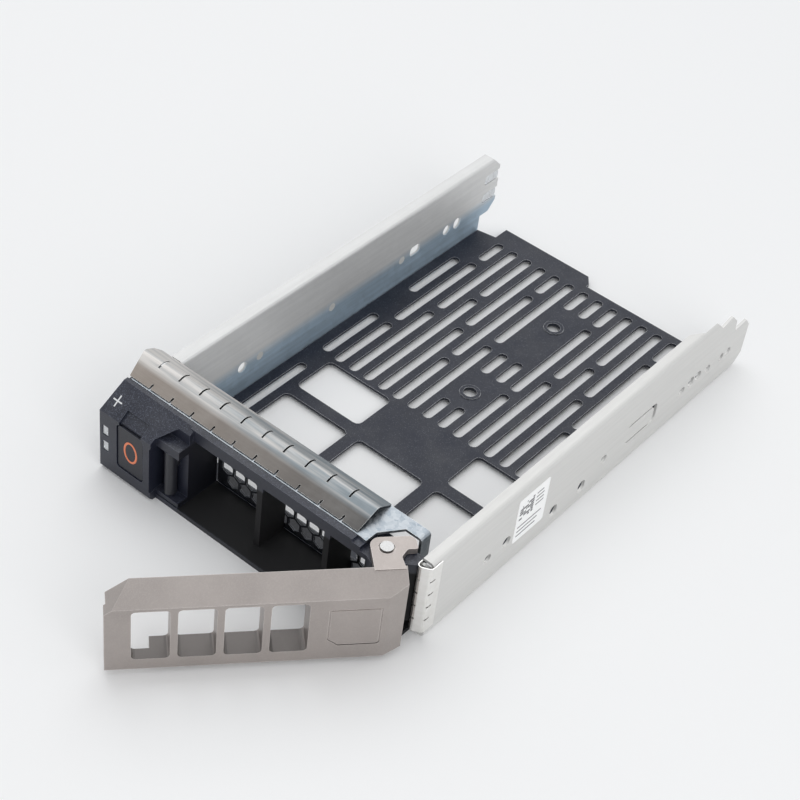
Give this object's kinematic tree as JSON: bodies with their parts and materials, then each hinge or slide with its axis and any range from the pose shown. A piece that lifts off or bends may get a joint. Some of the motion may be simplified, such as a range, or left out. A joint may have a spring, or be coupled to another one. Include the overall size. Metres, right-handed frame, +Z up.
{
  "type": "hot swap drive caddy",
  "caption": "Sheet metal drive caddy with slotted floor, side rails, ventilated front bezel, hinged latch handle and release button.",
  "frame": {"origin": "middle plane between the side rails, level with the underside of their lips, in line with the middle of the drive's side screw holes", "axes": "+X to the right seen from the front, +Y towards the rear, the way the caddy slides in, +Z up"},
  "size_m": [0.1129, 0.2372, 0.0328],
  "materials": {
    "plate_black": "satin black coating",
    "rail_steel": "plain zinc coated sheet",
    "bracket_zinc": "spangled zinc",
    "gasket_nickel": "plated spring sheet",
    "side_gasket_tin": "plated spring sheet",
    "bezel_black": "fine texture",
    "grille_black": "satin black",
    "handle_pewter": "metallic paint",
    "pin_steel": "polished",
    "spring_steel": "bright wire",
    "screw_steel": "plated",
    "button_black": "satin",
    "catch_black": "satin",
    "guide_plastic": "plain",
    "light_clear": "clear plastic",
    "clip_plastic": "plain",
    "label_white": "paper label"
  },
  "bodies": {
    "tray": {"base_plate": "plate_black", "left_rail": "rail_steel", "right_rail": "rail_steel", "front_bracket": "bracket_zinc", "bracket_rivets": "screw_steel", "bezel_screws": "screw_steel", "air_grille": "grille_black", "front_bezel": "bezel_black", "top_gasket": "gasket_nickel", "side_gasket": "side_gasket_tin", "hinge_pin": "pin_steel", "button_spring": "spring_steel", "button_guide": "guide_plastic", "catch_guide_pin": "pin_steel", "catch_spring": "spring_steel", "lower_light_pipe": "light_clear", "upper_light_pipe": "light_clear", "light_pipe_clips": "clip_plastic", "rail_label": "label_white"},
    "handle": {"latch_handle": "handle_pewter", "handle_spring": "spring_steel"},
    "button": {"release_button": "button_black"},
    "catch": {"latch_catch": "catch_black"}
  },
  "joints": [
    {"name": "handle_hinge", "type": "hinge", "parent": "tray", "child": "handle", "pos_m": [0.0386, -0.0908, 0.015], "axis": [0, 0, 1], "range_deg": [-48.3, 0], "stiffness_Nm_per_rad": 0.02, "springref_deg": 17.19},
    {"name": "button_press", "type": "slide", "parent": "tray", "child": "button", "axis": [0, 1, 0], "range_m": [0, 0.0024], "stiffness_N_per_m": 500, "springref_m": -0.001, "deforming": ["button_spring"]},
    {"name": "catch_slide", "type": "slide", "parent": "tray", "child": "catch", "axis": [-1, 0, 0], "range_m": [0, 0.002], "stiffness_N_per_m": 300, "springref_m": -0.001, "deforming": ["catch_spring"]}
  ],
  "couplings": [
    {"joint": "catch_slide", "follows": "button_press", "ratio": 0.8333}
  ]
}
